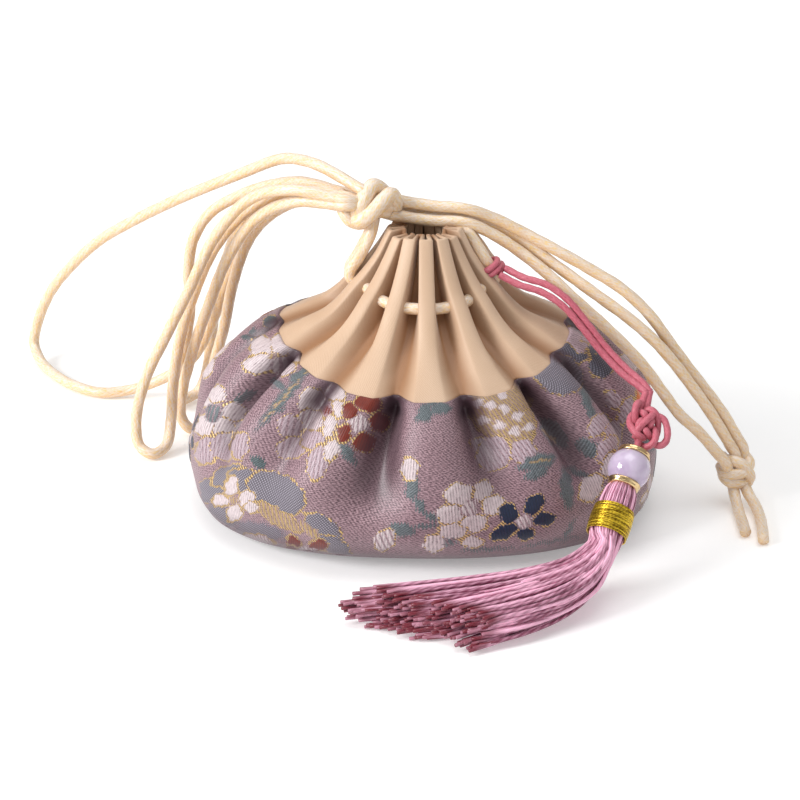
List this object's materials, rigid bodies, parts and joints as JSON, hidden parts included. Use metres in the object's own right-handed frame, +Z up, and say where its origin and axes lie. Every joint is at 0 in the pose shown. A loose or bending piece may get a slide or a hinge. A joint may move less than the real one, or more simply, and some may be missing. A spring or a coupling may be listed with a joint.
{
  "type": "drawstring sachet pouch",
  "caption": "Small brocade sachet pouch with a pleated satin collar drawn shut by knotted ivory cords, and a pink hanger with a bead and a thread tassel.",
  "frame": {"origin": "centre of the pouch's flat base, on the floor", "axes": "+Z up through the mouth, +X to the right along the pouch's width, front toward -Y"},
  "size_m": [0.1611, 0.1361, 0.0712],
  "materials": {
    "brocade": "woven floral brocade",
    "satin": "satin",
    "ivory_cord": "satin cord",
    "pink_cord": "braided cord",
    "gilt": "polished",
    "lilac_bead": "polished",
    "tassel_thread": "silky thread",
    "gold_thread": "metallic thread"
  },
  "bodies": {
    "root": {"pouch_body": "brocade", "collar": "satin", "draw_cord": "ivory_cord", "riser_left_front": "ivory_cord", "riser_left_back": "ivory_cord", "riser_right_front": "ivory_cord", "riser_right_back": "ivory_cord", "main_knot": "ivory_cord", "loop_big": "ivory_cord", "loop_front": "ivory_cord", "loop_side": "ivory_cord", "loop_back": "ivory_cord", "strand_low": "ivory_cord", "strand_mid": "ivory_cord", "strand_high": "ivory_cord", "end_knot": "ivory_cord", "tail_left": "ivory_cord", "tail_right": "ivory_cord", "hanger_hitch": "pink_cord", "hanger_front": "pink_cord", "hanger_back": "pink_cord", "charm_knot": "pink_cord", "bead_cap_upper": "gilt", "bead": "lilac_bead", "bead_cap_lower": "gilt", "tassel_stem": "pink_cord", "tassel": "tassel_thread", "tassel_winding": "gold_thread"}
  },
  "joints": []
}
